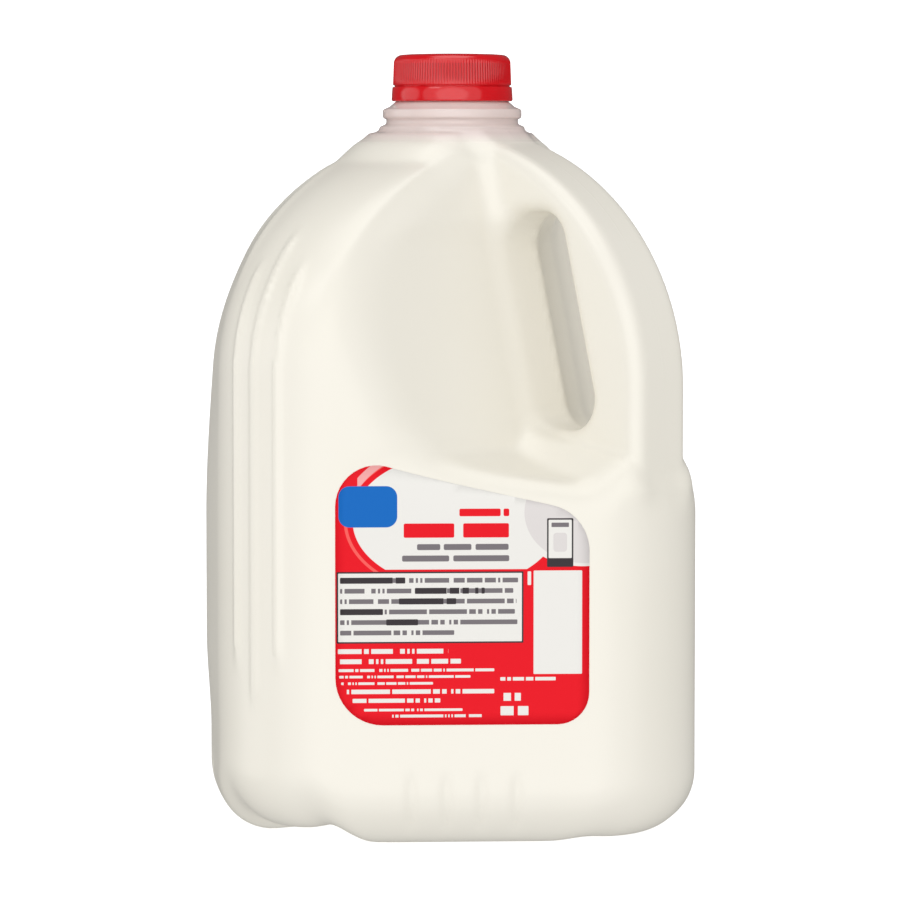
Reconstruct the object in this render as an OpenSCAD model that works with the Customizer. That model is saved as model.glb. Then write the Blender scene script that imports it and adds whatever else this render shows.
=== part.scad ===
// One-gallon blown milk jug with a handle, a snap cap, a side label and its milk.
// The handle points along +X and the mould's parting plane is the XZ plane.
// The four flat side walls face the diagonals, and the jug stands on Z = 0.

/* [Body] */
// Distance across opposite side walls
across_flats = 152.8; // [126:0.1:184]
// Radius of the upright corners, seen from above
corner_r = 36; // [30:1:44]
// Height of the jug's body, from the base to the foot of the neck
body_h = 227; // [189:1:273]
// Height at which the side walls start to curve in
shoulder_z = 150; // [140:1:155]
// How far the two side walls away from the handle swell out in their middle, from the milk's weight
swell = 4.8; // [2:0.1:6]
// Wall thickness of the blown body
wall = 0.8; // [0.6:0.1:1.2]
// Radius of the heel, between the side walls and the base
heel_r = 20; // [16:1:26]
// Height of the hollow under the middle of the base
push_up = 6; // [3:1:8]
// Height of the base's corners above the surface that the jug stands on, away from the handle
corner_lift = 4.5; // [3:0.5:6]

/* [Collar and neck] */
// Radius of the round collar where the shoulder ends
collar_r = 34.6; // [32:0.1:38]
// Height of the cone-shaped collar
collar_h = 6.8; // [5:0.1:8]
// Outer diameter of the neck
neck_d = 43.3; // [36:0.1:52]
// Wall thickness of the neck
neck_wall = 1.5; // [1.2:0.1:2]
// How far the bumper ring stands out from the neck
bumper_out = 1.2; // [0.8:0.1:1.6]

/* [Cap] */
// Outer diameter of the cap's knurled skirt
cap_d = 39; // [32.5:0.1:42]
// Height of the cap
cap_h = 15.5; // [13:0.5:18.5]
// Thickness of the cap's top and skirt
cap_wall = 1.3; // [1:0.1:1.6]
// Height of the smooth tamper band at the foot of the cap
band_h = 5; // [4:0.5:6]
// Number of knurls around the skirt
knurl_count = 120; // [90:1:140]
// Gap between the cap and the neck inside it
cap_gap = 0.4; // [0.3:0.1:0.6]

/* [Handle] */
// Width of the handle, across the parting plane
handle_w = 26; // [22:1:31]
// Depth of the handle's grip, from its outer face to the finger hole's lower end
handle_depth = 20; // [17:1:24]
// Depth of the handle's bow, from its outer face to the finger hole's upper end
bow_depth = 17; // [15:1:20]
// Width of the finger hole, between the body and the handle
grip_gap = 21; // [18:0.5:25]
// Height of the finger hole's lower end
grip_low_z = 131; // [128:1:134]
// Distance of the finger hole's upper end below the foot of the neck
grip_high_drop = 26; // [22:1:32]
// Distance of the handle's outer face inside the body's corner
handle_inset = 2.8; // [1:0.1:5]

/* [Label] */
// Width of the label
label_w = 80; // [67:1:96]
// Height of the label
label_h = 82; // [69:1:84]
// Height of the label's lower edge
label_z = 40; // [35:1:42]
// How much lower the label's outline is at the handle's side
label_drop = 12.3; // [9:0.1:16]
// Thickness of the label
label_t = 0.25; // [0.2:0.05:0.4]

/* [Milk] */
// Distance of the milk's surface below the foot of the neck
fill_drop = 5; // [4:0.5:12]

/* [Hidden] */

jug_colour = [0.94, 0.93, 0.90];
milk_colour = [0.96, 0.94, 0.89];
cap_colour = [0.86, 0.20, 0.24];
label_colour = [0.85, 0.22, 0.26];

// Pieces that lie against each other keep this gap
seat_gap = 0.05;

// Heights along the jug
foot_ring_h = 2.2;
cap_rise = 9.4;
collar_z = body_h - collar_h - foot_ring_h;
collar_top_z = collar_z + collar_h;
fill_z = body_h - fill_drop;
cap_z = body_h + cap_rise;
mouth_z = cap_z + cap_h - cap_wall;

// Neck: a foot ring, a bumper ring and the finish that the cap goes over
neck_r = neck_d / 2;
foot_ring_out = 2;
foot_ring_edge = 1.2;
bumper_low = 4;
bumper_high = 6.6;
bumper_edge = 0.6;
taper_in = 0.5;
taper_low = 7.8;
neck_in_high = 6;
skirt_clear = 0.4;
finish_r = cap_d / 2 - cap_wall - cap_gap - skirt_clear;

// Cap
knurl_depth = 0.35;
knurl_root = 0.1;
band_out = 0.4;
score_h = 0.5;
cap_edge_r = 2.2;

// The shoulder's side profile is a quarter of an ellipse, with the collar's cone on top
flat_half = across_flats / 2;
shoulder_b = (collar_z - shoulder_z) / sqrt(1 - pow(collar_r / flat_half, 2));
ledge_w = 5;
ledge_r = neck_r + ledge_w;

// The swell is greatest below the shoulder, fades towards the base, and ends before the corners
swell_reach = 60;
swell_z = [shoulder_z - 50, shoulder_z + 50];
swell_base_share = 0.7;
swell_base_z = [30, 62];

// Handle: its outer face is a quarter of an ellipse that ends at the foot of the neck
corner_reach = (flat_half - corner_r) * sqrt(2) + corner_r;
handle_reach = corner_reach - handle_inset;
handle_foot_z = 118;
handle_arc_z = shoulder_z - 5;
handle_arc_b = body_h - handle_arc_z;
handle_edge_r = 5;
handle_fillet = 6;

// Finger hole: a slanted slot whose ends are half circles
grip_high_z = body_h - grip_high_drop;
grip_r = grip_gap / 2;
grip_low = [handle_face(grip_low_z + grip_r) - handle_depth - grip_r, grip_low_z + grip_r];
grip_high = [handle_face(grip_high_z - grip_r) - bow_depth - grip_r, grip_high_z - grip_r];
grip_slant = atan2(grip_low[0] - grip_high[0], grip_high[1] - grip_low[1]);
grip_flare = 4;
grip_steps = 3;

// Finger pockets, one on each side of the parting plane
pocket_lean = 0.14;
pocket_web = 1.5;
pocket_lip_r = 8;
pocket_low_z = grip_low_z - 3;
pocket_ledge_h = 17;
pocket_ledge_reach = 60;
pocket_ledge_power = 2.5;

// The label's middle lies this far along the side wall from the wall's middle
label_middle = -0.4;

// Base: flat heel pads under the side walls, between raised corners
pad_angle = 25;
lift_angle = 37;
lift_from = 20;
lift_to = 60;
handle_corner_share = 0.75;
push_up_r = 43;
push_up_edge = 12;

// Ribs down the two side corners
rib_step = 9;
rib_r = 1.5;
rib_out = 0.7;
rib_low_z = [56, 43, 56];
rib_high_share = [0.515, 0.647, 0.515];
rib_bend = 0.55;

// Rays that trace the walls: around the axis, up the body and down to the base
around = 40;
near_rays = 8;
near_turn = 24;
aim_z = 32;
heel_from = 6;
heel_to = 36;
pocket_from_z = pocket_low_z - pocket_ledge_h;
rows_base = 2;
rows_heel = 4;
rows_low = 2;
rows_ledge = 4;
rows_hole = 3;
rows_shoulder = 7;
rows_collar = 2;
rows_mid_z = 170;
base_from = 66;
trace_steps = 15;
ray_near = 2;
ray_far = 140;

// Rounded intersection and rounded union of two distances
function round_cut(a, b, r) = min(-r, max(a, b)) + norm([max(a + r, 0), max(b + r, 0)]);
function round_join(a, b, r) = max(r, min(a, b)) - norm([max(r - a, 0), max(r - b, 0)]);

// Smooth step from 0 at a to 1 at b
function ease(a, b, v) = let (t = min(max((v - a) / (b - a), 0), 1)) t * t * (3 - 2 * t);

// Half the distance across the side walls at a height
function wall_half(z) =
    z <= shoulder_z ? flat_half
    : z <= collar_z ? flat_half * sqrt(1 - pow((z - shoulder_z) / shoulder_b, 2))
    : max(1, collar_r - (z - collar_z) * (collar_r - ledge_r) / collar_h);

// Distance of the handle's outer face from the jug's axis at a height
function handle_face(z) =
    let (up = max(0, z - handle_arc_z) / handle_arc_b)
    handle_reach * sqrt(max(0.001, 1 - up * up)) - max(0, handle_foot_z - z);

// Turns a sideways gap into a true distance, from the wall's slope
function true_gap(gap, slope) = gap / norm([1, slope]);

// Swell of a wall at a distance along it from its middle
function swell_at(along, z) =
    swell * pow(max(0, 1 - pow(along / swell_reach, 2)), 2) * (1 - ease(swell_z[0], swell_z[1], z))
    * (swell_base_share + (1 - swell_base_share) * ease(swell_base_z[0], swell_base_z[1], z));

// Distance outside one pair of side walls, of which the one towards -across swells
function pair_gap(across, along, half, z) =
    abs(across) - half - (across < 0 ? swell_at(along, z) : 0);

// Signed distances: negative inside
function side_gap(x, y, z) =
    let (
        half = wall_half(z),
        slope = wall_half(z + 0.5) - wall_half(z - 0.5),
        r = min(corner_r, half),
        p = (x + y) / sqrt(2),
        q = (x - y) / sqrt(2),
        a = pair_gap(p, q, half - r, z),
        b = pair_gap(q, p, half - r, z)
    )
    true_gap(norm([max(a, 0), max(b, 0)]) + min(max(a, b), 0) - r, slope);

function pocket_floor(z) =
    grip_low[0] - (z - grip_low[1]) * tan(grip_slant) - grip_r / cos(grip_slant) - pocket_web
    + pocket_ledge_reach * pow(max(0, pocket_low_z - z) / pocket_ledge_h, pocket_ledge_power);

function pocket_gap(x, y, z) =
    let (slope = pocket_floor(z + 0.5) - pocket_floor(z - 0.5))
    true_gap(x - pocket_floor(z) + pocket_lean * abs(y), norm([slope, pocket_lean]));

function handle_gap(x, y, z) =
    let (slope = handle_face(z + 0.5) - handle_face(z - 0.5))
    max(-x, round_cut(abs(y) - handle_w / 2, true_gap(x - handle_face(z), slope), handle_edge_r));

function base_gap(x, y, z) =
    let (
        turn = abs(((atan2(y, x) + 360) % 90) - 45),
        out = norm([x, y]),
        at_handle = handle_corner_share * ease(0.5, 0.9, x / max(out, 1)),
        lift = corner_lift * ease(pad_angle, lift_angle, turn) * (1 - at_handle),
        inner = push_up * (1 - ease(push_up_r - push_up_edge, push_up_r, out))
    )
    max(lift * ease(lift_from, lift_to, out), inner) - z;

function jug_gap(x, y, z) =
    let (
        body = round_cut(side_gap(x, y, z), pocket_gap(x, y, z), pocket_lip_r),
        full = round_join(body, handle_gap(x, y, z), handle_fillet)
    )
    round_cut(full, base_gap(x, y, z), heel_r);

// The length of a ray at which it meets the wall, a given depth inside the outer face
function trace(from, way, depth, low, high, steps) =
    let (mid = (low + high) / 2, at = from + mid * way)
    steps == 0 ? at
    : jug_gap(at[0], at[1], at[2]) + depth > 0 ? trace(from, way, depth, low, mid, steps - 1)
    : trace(from, way, depth, mid, high, steps - 1);

// Rays lie closest together around the handle, the same on both sides of it
function ray_turn(i) =
    let (
        half = around / 2,
        k = i <= half ? i : around - i,
        turn = k <= near_rays ? near_turn * k / near_rays
            : near_turn + (180 - near_turn) * (k - near_rays) / (half - near_rays)
    )
    i <= half ? turn : 360 - turn;

function spread(from, to, count) = [for (i = [0 : count - 1]) from + (to - from) * i / count];

function row_heights(top) =
    let (highest = min(top, collar_z))
    concat(
        spread(aim_z, pocket_from_z, rows_low),
        spread(pocket_from_z, pocket_low_z, rows_ledge),
        spread(pocket_low_z, rows_mid_z, rows_hole),
        spread(rows_mid_z, highest, rows_shoulder),
        top > collar_z ? spread(collar_z, top, rows_collar) : [],
        [top]
    );

function base_turns() = concat(spread(base_from, heel_to, rows_base), spread(heel_to, heel_from, rows_heel));

// Every row of points from the middle of the base up to the top
function wall_points(depth, top) = concat(
    [for (down = base_turns(), i = [0 : around - 1])
        let (turn = ray_turn(i), way = [cos(down) * cos(turn), cos(down) * sin(turn), -sin(down)])
        trace([0, 0, aim_z], way, depth, ray_near, ray_far, trace_steps)],
    [for (z = row_heights(top), i = [0 : around - 1])
        let (turn = ray_turn(i))
        trace([0, 0, z], [cos(turn), sin(turn), 0], depth, ray_near, ray_far, trace_steps)]
);

// A closed skin that runs the given depth inside the outer face
module skin(depth, top) {
    points = wall_points(depth, top);
    rows = len(points) / around;
    foot = trace([0, 0, aim_z], [0, 0, -1], depth, ray_near, ray_far, trace_steps);
    polyhedron(
        points = concat(points, [foot, [0, 0, top]]),
        faces = concat(
            [for (i = [0 : around - 1]) [rows * around, i, (i + 1) % around]],
            [for (row = [0 : rows - 2], i = [0 : around - 1], half = [0, 1])
                let (a = row * around + i, b = row * around + (i + 1) % around)
                half == 0 ? [a, a + around, b] : [b, a + around, b + around]],
            [for (i = [0 : around - 1])
                let (a = (rows - 1) * around)
                [a + (i + 1) % around, a + i, rows * around + 1]]
        )
    );
}

// One slice of the finger hole: a slot that widens toward the handle's faces
module grip_slice(y, grow) {
    part = min(1, abs(y) / (handle_w / 2));
    flare = grip_flare * (1 - sqrt(1 - part * part));
    r = grip_r + flare / 2 + grow;
    shift = flare / 2 - pocket_lean * abs(y);
    hull() {
        for (end = [grip_low, grip_high]) {
            translate([end[0] + shift, y, end[1]]) rotate([90, 0, 0])
                cylinder(h = 0.02, r = r, center = true, $fn = 20);
        }
    }
}

module grip_hole(grow) {
    reach = handle_w / 2 + 1;
    for (i = [-grip_steps : grip_steps - 1]) {
        hull() {
            grip_slice(reach * i / grip_steps, grow);
            grip_slice(reach * (i + 1) / grip_steps, grow);
        }
    }
}

module neck_outside() {
    rotate_extrude($fn = 28)
        polygon([
            [0, collar_z - 3],
            [neck_r + foot_ring_out, collar_z - 3],
            [neck_r + foot_ring_out, body_h],
            [neck_r, body_h + foot_ring_edge],
            [neck_r, body_h + bumper_low - bumper_edge],
            [neck_r + bumper_out, body_h + bumper_low],
            [neck_r + bumper_out, body_h + bumper_high],
            [neck_r - taper_in, body_h + taper_low],
            [finish_r, cap_z - seat_gap],
            [finish_r, mouth_z],
            [0, mouth_z]
        ]);
}

module neck_inside() {
    rotate_extrude($fn = 28)
        polygon([
            [0, collar_z - 4],
            [neck_r - neck_wall, collar_z - 4],
            [neck_r - neck_wall, body_h + neck_in_high],
            [finish_r - neck_wall, cap_z],
            [finish_r - neck_wall, mouth_z + 1],
            [0, mouth_z + 1]
        ]);
}

// A point on a side corner, at a sideways distance from the corner's middle
function corner_point(side, along, z) =
    trace([along, 0, z], [0, side, 0], 0, ray_near, ray_far, trace_steps);

module corner_rib(side, along, low_z, high_share) {
    over = high_share * (collar_z - shoulder_z);
    heights = [low_z, shoulder_z, shoulder_z + rib_bend * over, shoulder_z + over];
    for (i = [0 : len(heights) - 2]) {
        hull() {
            for (z = [heights[i], heights[i + 1]]) {
                translate(corner_point(side, along, z) - [0, side * (rib_r - rib_out), 0])
                    sphere(r = rib_r, $fn = 6);
            }
        }
    }
}

module jug() {
    color(jug_colour)
        difference() {
            union() {
                difference() {
                    skin(0, collar_top_z);
                    grip_hole(0);
                }
                neck_outside();
                for (side = [-1, 1], i = [-1 : 1]) {
                    corner_rib(side, i * rib_step, rib_low_z[i + 1], rib_high_share[i + 1]);
                }
            }
            difference() {
                skin(wall, collar_top_z - wall);
                grip_hole(wall);
            }
            neck_inside();
        }
}

module milk() {
    color(milk_colour)
        difference() {
            skin(wall + seat_gap, fill_z);
            grip_hole(wall + seat_gap);
        }
}

// Outline of the knurled skirt
function knurl_points() = [for (i = [0 : 2 * knurl_count - 1])
    let (turn = 180 * i / knurl_count, r = cap_d / 2 - (i % 2) * knurl_depth)
    [r * cos(turn), r * sin(turn)]];

module cap() {
    inside_r = finish_r + cap_gap;
    core_r = cap_d / 2 - knurl_depth - knurl_root;
    color(cap_colour)
        translate([0, 0, cap_z]) {
            difference() {
                union() {
                    rotate_extrude($fn = 96) {
                        square([core_r, cap_h - cap_edge_r]);
                        square([core_r - cap_edge_r, cap_h]);
                        intersection() {
                            translate([core_r - cap_edge_r, cap_h - cap_edge_r])
                                circle(r = cap_edge_r, $fn = 48);
                            square([core_r, cap_h]);
                        }
                    }
                    translate([0, 0, band_h])
                        linear_extrude(height = cap_h - band_h - cap_edge_r) polygon(knurl_points());
                    cylinder(h = band_h - score_h, r = cap_d / 2 + band_out, $fn = 96);
                }
                translate([0, 0, -1]) cylinder(h = cap_h + 1 - cap_wall, r = inside_r, $fn = 96);
            }
        }
}

// Outline of the label: the top slopes down toward the handle, under the pocket's ledge
module label_outline() {
    low_left_r = 15;
    low_right_r = 10;
    high_left_r = 13;
    high_right_r = 15;
    hull() {
        translate([low_left_r, low_left_r]) circle(r = low_left_r, $fn = 48);
        translate([label_w - low_right_r, low_right_r]) circle(r = low_right_r, $fn = 48);
        translate([high_left_r, label_h - high_left_r]) circle(r = high_left_r, $fn = 48);
        translate([label_w - high_right_r, label_h - label_drop - high_right_r])
            circle(r = high_right_r, $fn = 48);
    }
}

module label() {
    color(label_colour)
        rotate([0, 0, 45])
        translate([label_middle - label_w / 2, -flat_half - seat_gap, label_z])
        rotate([90, 0, 0])
        linear_extrude(height = label_t) label_outline();
}

jug();
milk();
cap();
label();
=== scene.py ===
# %% [markdown]
# # A full gallon jug of milk
#
# The real thing is one thin blown bottle of natural polyethylene, filled with milk,
# closed with a red snap cap and dressed with one printed label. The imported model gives
# the sizes and places. This lesson gives the four pieces the look of the real ones.

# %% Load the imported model
import math
import bmesh
import bpy
import numpy as np
import openvdb as vdb
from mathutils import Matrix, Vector


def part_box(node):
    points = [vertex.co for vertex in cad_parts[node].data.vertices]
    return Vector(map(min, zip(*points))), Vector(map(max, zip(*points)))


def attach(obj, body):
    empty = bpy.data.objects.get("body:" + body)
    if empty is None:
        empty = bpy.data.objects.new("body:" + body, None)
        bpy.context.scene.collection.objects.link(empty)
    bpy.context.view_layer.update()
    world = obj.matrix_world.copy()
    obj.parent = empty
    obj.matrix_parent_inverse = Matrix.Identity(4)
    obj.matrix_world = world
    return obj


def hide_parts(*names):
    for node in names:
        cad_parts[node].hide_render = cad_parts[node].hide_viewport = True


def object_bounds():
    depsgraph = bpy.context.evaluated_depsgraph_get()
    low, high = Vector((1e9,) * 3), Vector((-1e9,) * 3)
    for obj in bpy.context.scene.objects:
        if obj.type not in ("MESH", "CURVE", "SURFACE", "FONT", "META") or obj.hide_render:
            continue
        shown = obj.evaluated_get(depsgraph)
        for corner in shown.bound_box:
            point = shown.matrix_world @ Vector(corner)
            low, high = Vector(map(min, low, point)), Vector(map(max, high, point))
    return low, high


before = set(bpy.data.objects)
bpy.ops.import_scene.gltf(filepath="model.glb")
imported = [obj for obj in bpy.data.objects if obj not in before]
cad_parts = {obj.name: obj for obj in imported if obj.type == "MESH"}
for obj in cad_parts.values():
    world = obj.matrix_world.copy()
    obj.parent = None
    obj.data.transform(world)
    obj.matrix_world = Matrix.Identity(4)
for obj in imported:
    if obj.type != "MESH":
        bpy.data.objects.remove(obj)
cad_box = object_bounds()
print("nodes:", sorted(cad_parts))

# %% [markdown]
# ## Sizes
#
# The script works in millimetres and turns them into metres only when it makes a mesh.
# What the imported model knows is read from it. The rest are the blown body's own sizes,
# the same ones that its construction uses.

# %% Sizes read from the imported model
MM = 0.001


def node_box(node):
    """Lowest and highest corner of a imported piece, in millimetres."""
    low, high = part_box(node)
    return np.array(low) / MM, np.array(high) / MM


jug_low, jug_high = node_box("jug")
milk_low, milk_high = node_box("milk")
cap_low, cap_high = node_box("cap")
label_low, label_high = node_box("label")
fill_z = milk_high[2]
print("milk level", round(fill_z, 1), "mm, cap", (cap_high - cap_low).round(1))

# %% Sizes of the blown body
flat_half = 76.4
corner_r = 36.0
body_h = 227.0
shoulder_z = 150.0
wall = 0.8
collar_r = 34.6
collar_z = body_h - 9.0
collar_fall, collar_edge_r = 0.74, 3.0
neck_r = 21.65
foot_ring_r = neck_r + 2.15
corner_reach = (flat_half - corner_r) * math.sqrt(2) + corner_r
shoulder_b = (collar_z - shoulder_z) / math.sqrt(1 - (collar_r / flat_half) ** 2)
swell, swell_reach, swell_z = 4.8, 60.0, (shoulder_z - 50, shoulder_z + 50)
swell_base_share, swell_base_z = 0.7, (30, 62)
print("corner reach", round(corner_reach, 1), "mm from the axis")

# %% [markdown]
# ## Distance fields
#
# A blown jug has no sharp edges, and its pockets, handle and corners run into each other.
# Subdivided boxes could do it, with much fiddling around the finger hole. A distance field
# is simpler: a function that is negative inside the jug and positive outside. Two shapes
# are joined or cut with a rounded edge by one formula, and the hole is just one more cut.

# %% Rounded cuts and joins
def round_cut(a, b, r):
    """Where both shapes are, with their common edge rounded to r."""
    return np.minimum(-r, np.maximum(a, b)) + np.hypot(np.maximum(a + r, 0), np.maximum(b + r, 0))


def round_join(a, b, r):
    """Where either shape is, with a fillet of r between them."""
    return np.maximum(r, np.minimum(a, b)) - np.hypot(np.maximum(r - a, 0), np.maximum(r - b, 0))


def ease(a, b, v):
    """A smooth step from 0 at a to 1 at b."""
    t = np.clip((v - a) / (b - a), 0, 1)
    return t * t * (3 - 2 * t)


def hill(v, width):
    """A smooth bump that is 1 at 0."""
    return np.exp(-((v / width) ** 2))


print("a square edge rounded to 5 loses", round(float(round_cut(0.0, 0.0, 5.0)), 2), "mm")

# %% [markdown]
# The body is a rounded square whose corners point along X and Y. Its shoulder's side
# profile is a quarter ellipse, and a small cone, the collar, carries it up to the neck.
# The milk's weight makes the two walls away from the handle swell. The other two are
# stiffened by the finger pockets, and stay flat.

# %% The body's outer walls
def wall_half(z):
    """Half the distance across the side walls at a height."""
    up = np.clip((z - shoulder_z) / shoulder_b, 0, 0.999)
    return flat_half * np.sqrt(1 - up * up)


def true_gap(gap, slope):
    """Turns a sideways gap into a true distance, from the wall's slope."""
    return gap / np.hypot(1, slope)


def swell_at(along, z):
    """Swell of a wall at a distance along it from its middle."""
    low = swell_base_share + (1 - swell_base_share) * ease(*swell_base_z, z)
    return swell * np.maximum(0, 1 - (along / swell_reach) ** 2) ** 2 * (1 - ease(*swell_z, z)) * low


def pair_gap(across, along, half, z):
    """Distance outside a pair of side walls, of which the one on the minus side swells."""
    return np.abs(across) - half - np.where(across < 0, swell_at(along, z), 0)


def side_gap(x, y, z):
    half = wall_half(z)
    r = np.minimum(corner_r, half)
    p, q = (x + y) / math.sqrt(2), (x - y) / math.sqrt(2)
    a = pair_gap(p, q, half - r, z)
    b = pair_gap(q, p, half - r, z)
    flat = np.hypot(np.maximum(a, 0), np.maximum(b, 0)) + np.minimum(np.maximum(a, b), 0) - r
    return true_gap(flat, wall_half(z + 0.5) - wall_half(z - 0.5))


def collar_gap(x, y, z):
    """The cone that spreads from the neck's foot, as far out as the collar's edge."""
    out = np.hypot(x, y)
    cone = true_gap(out - foot_ring_r - (body_h - z) / collar_fall, 1 / collar_fall)
    return round_cut(cone, out - collar_r, collar_edge_r)


print("a wall swells by up to", round(float(swell_at(0, swell_z[0])), 1), "mm")


# %% [markdown]
# ## Handle, finger hole and pockets
#
# The handle is a flat-sided loop on the parting plane. A pocket on each side of it is
# scooped out for the fingers, down to just past the finger hole's edge. On the body's side,
# the hole's wall falls away from the parting plane into both pockets, so it has a ridge
# in its middle, where the mould's halves pinched the plastic shut. The pocket's
# lower ledge rises beside the handle, so that the handle's foot ends in a round tongue.

# %% Handle
handle_half = 13.0
handle_depth, bow_depth = 20.0, 17.0
handle_edge_r = 5.0
handle_reach = corner_reach - 2.8
handle_foot_z = 114.0
handle_arc_z = shoulder_z - 5
handle_arc_b = body_h - handle_arc_z


def handle_face(z):
    """Distance of the handle's outer face from the axis: a quarter of an ellipse."""
    up = np.maximum(0, z - handle_arc_z) / handle_arc_b
    return handle_reach * np.sqrt(np.maximum(0.001, 1 - up * up)) - np.maximum(0, handle_foot_z - z)


def handle_gap(x, y, z):
    slope = handle_face(z + 0.5) - handle_face(z - 0.5)
    outer = true_gap(x - handle_face(z), slope)
    return np.maximum(-x, round_cut(np.abs(y) - handle_half, outer, handle_edge_r))


# %% Finger hole
grip_r = 10.5
grip_ends_z = (131.0 + grip_r, 201.0 - grip_r)
grip_ends = [
    (float(handle_face(z)) - depth - grip_r, z)
    for z, depth in zip(grip_ends_z, (handle_depth, bow_depth))]
grip_lean = (grip_ends[0][0] - grip_ends[1][0]) / (grip_ends[1][1] - grip_ends[0][1])
grip_edge_r = 4.5
pocket_lean = 0.14
pinch_fall, pinch_w = 2.6, 6.0
print("finger hole from", [round(v, 1) for v in grip_ends[0]], "to", [round(v, 1) for v in grip_ends[1]])


def grip_gap(x, z):
    """Distance outside the slanted slot."""
    (ax, az), (bx, bz) = grip_ends
    along = np.clip(((x - ax) * (bx - ax) + (z - az) * (bz - az)) / ((bx - ax) ** 2 + (bz - az) ** 2), 0, 1)
    return np.hypot(x - ax - along * (bx - ax), z - az - along * (bz - az)) - grip_r


def hole_gap(x, y, z):
    """The slot, with its body side falling away from the ridge on the parting plane."""
    side = np.abs(y)
    fall = pocket_lean * side + pinch_fall * (1 - np.exp(-side / pinch_w))
    return np.minimum(grip_gap(x, z), grip_gap(x + fall, z))


# %% Finger pockets
pocket_lip_r = 8.0
pocket_low_z = 128.0
pocket_ledge_h = 17.0
pocket_ledge_reach, ledge_curve, ledge_limit = 60.0, 2.5, 240.0
pocket_web = 2.0
ledge_rise, ledge_rise_y, ledge_rise_w = 7.0, 15.0, 6.0


def pocket_floor(z, rise=0.0):
    """Distance of the pocket's floor from the axis, at the parting plane."""
    beside = grip_r * math.hypot(1, grip_lean)
    ledge = np.maximum(0, pocket_low_z + rise - z) / pocket_ledge_h
    reach = np.minimum(pocket_ledge_reach * ledge ** ledge_curve, ledge_limit)
    return grip_ends[0][0] - (z - grip_ends[0][1]) * grip_lean - beside - pocket_web + reach


def pocket_gap(x, y, z):
    rise = ledge_rise * hill(np.abs(y) - ledge_rise_y, ledge_rise_w)
    slope = pocket_floor(z + 0.5, rise) - pocket_floor(z - 0.5, rise)
    return true_gap(x - pocket_floor(z, rise) + pocket_lean * np.abs(y), np.hypot(slope, pocket_lean))


print("pocket floor beside the hole's lower end at", round(float(pocket_floor(grip_ends[0][1])), 1), "mm")

# %% [markdown]
# ## Base
#
# The jug stands on four pads under its side walls. Its corners end a few millimetres higher,
# except for the one under the handle, with a shallow valley between corner and pad. The
# middle is pushed up.

# %% Base
heel_r = 20.0
push_up = 6.0
corner_lift = 4.5
pad_angle, lift_angle = 25.0, 37.0
valley_angle, valley_width, valley_h = 33.0, 5.0, 2.0
handle_corner_share, handle_corner_from = 0.75, (0.5, 0.9)
push_up_r, push_up_edge = 43.0, 12.0
lift_from = (20.0, 60.0)


def base_gap(x, y, z):
    turn = np.abs((np.degrees(np.arctan2(y, x)) + 360) % 90 - 45)
    out = np.hypot(x, y)
    valley = valley_h * hill(turn - valley_angle, valley_width)
    lift = corner_lift * ease(pad_angle, lift_angle, turn) + valley
    lift = lift * (1 - handle_corner_share * ease(*handle_corner_from, x / np.maximum(out, 1)))
    inner = push_up * (1 - ease(push_up_r - push_up_edge, push_up_r, out))
    return np.maximum(lift * ease(*lift_from, out), inner) - z


print("a side corner ends", round(float(base_gap(0.0, -corner_reach, 0.0)), 1), "mm above the pads")

# %% [markdown]
# ## Ribs and heel grooves
#
# Three upright ribs stiffen each side corner, and four short grooves run over the heel
# under each side wall. On the shoulder, a soft ridge runs down from the neck where each
# flat side turns into a corner. All are small changes of the field. A bump in the material
# would be quicker, but it wouldn't show in the outline.

# %% Ribs and grooves
rib_step, rib_width, rib_h = 9.0, 1.4, 1.15
rib_ends_z = [(54, 188), (41, 198), (54, 188)]
rib_fade_low, rib_fade_high, rib_from = 12, 9, (50, 60)
groove_step, groove_width, groove_h = 11.1, 1.8, 0.9
groove_ends_z = (7, 27)
groove_fade_low, groove_fade_high, groove_from = (-5, 3), 8, (45, 55)


def rib_relief(x, y, z):
    relief = 0
    for i, (low, high) in zip((-1, 0, 1), rib_ends_z):
        fade = ease(low, low + rib_fade_low, z) * (1 - ease(high - rib_fade_high, high, z))
        relief = relief + fade * hill(x - i * rib_step, rib_width)
    return rib_h * relief * ease(*rib_from, np.abs(y))


def groove_relief(x, y, z):
    low, high = groove_ends_z
    along = np.minimum(np.abs(x + y), np.abs(x - y)) / math.sqrt(2)
    lines = hill(along - groove_step / 2, groove_width) + hill(along - groove_step * 1.5, groove_width)
    near_wall = ease(*groove_from, np.hypot(x, y))
    fade = ease(low + groove_fade_low[0], low + groove_fade_low[1], z)
    return groove_h * lines * near_wall * fade * (1 - ease(high - groove_fade_high, high, z))


print("ribs are", rib_h, "mm high, heel grooves", groove_h, "mm deep")

# %% Shoulder ridges
ridge_w, ridge_h, ridge_shift = 3.2, 0.9, 30.0
ridge_ends_z = (172, 222)
ridge_fade_low, ridge_fade_high, ridge_until = 26, 8, (22, 34)


def ridge_relief(x, y, z):
    low, high = ridge_ends_z
    along = np.minimum(np.abs(x + y), np.abs(x - y)) / math.sqrt(2)
    line = hill(along - np.maximum(wall_half(z) - ridge_shift, 0), ridge_w)
    fade = ease(low, low + ridge_fade_low, z) * (1 - ease(high - ridge_fade_high, high, z))
    return ridge_h * line * fade * (1 - ease(*ridge_until, x))


print("shoulder ridges from", ridge_ends_z[0], "to", ridge_ends_z[1], "mm")

# %% The whole jug's outer face
neck_stub_h, stub_fillet = 12.0, 0.8
collar_fillet, handle_fillet = 6.0, 6.0


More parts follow.
